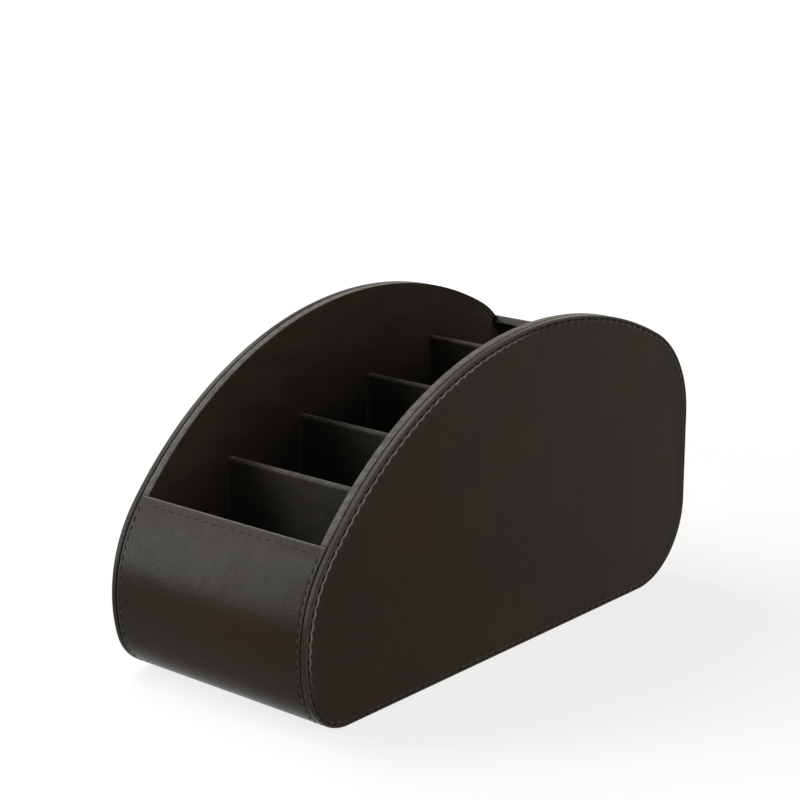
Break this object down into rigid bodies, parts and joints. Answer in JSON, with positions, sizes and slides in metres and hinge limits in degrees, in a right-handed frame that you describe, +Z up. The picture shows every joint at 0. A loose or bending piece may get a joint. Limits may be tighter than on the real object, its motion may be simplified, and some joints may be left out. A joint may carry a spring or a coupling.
{
  "type": "remote control holder",
  "caption": "Open-topped desk caddy with rounded side panels, a bent front, base and back, and upright dividers for hand-held controls.",
  "frame": {"origin": "on the surface it stands on, under the middle of the side outline", "axes": "+X to its right side as seen from the front, +Y from the low front to the back, +Z up"},
  "size_m": [0.105, 0.25, 0.1346],
  "materials": {
    "leathercloth": "soft satin with a fine grain",
    "lining": "matte",
    "fibreboard": "raw pressed board",
    "felt": "felt"
  },
  "bodies": {
    "root": {"back_board": "fibreboard", "base_board": "fibreboard", "base_felt": "felt", "divider_board_1": "fibreboard", "divider_board_2": "fibreboard", "divider_board_3": "fibreboard", "divider_board_4": "fibreboard", "divider_cover_1": "lining", "divider_cover_2": "lining", "divider_cover_3": "lining", "divider_cover_4": "lining", "front_board": "fibreboard", "inner_side_board_left": "fibreboard", "inner_side_board_right": "fibreboard", "inner_side_lining_left": "lining", "inner_side_lining_right": "lining", "outer_side_board_left": "fibreboard", "outer_side_board_right": "fibreboard", "outer_side_cover_left": "leathercloth", "outer_side_cover_right": "leathercloth", "shell_cover": "leathercloth", "shell_lining": "lining"}
  },
  "joints": []
}
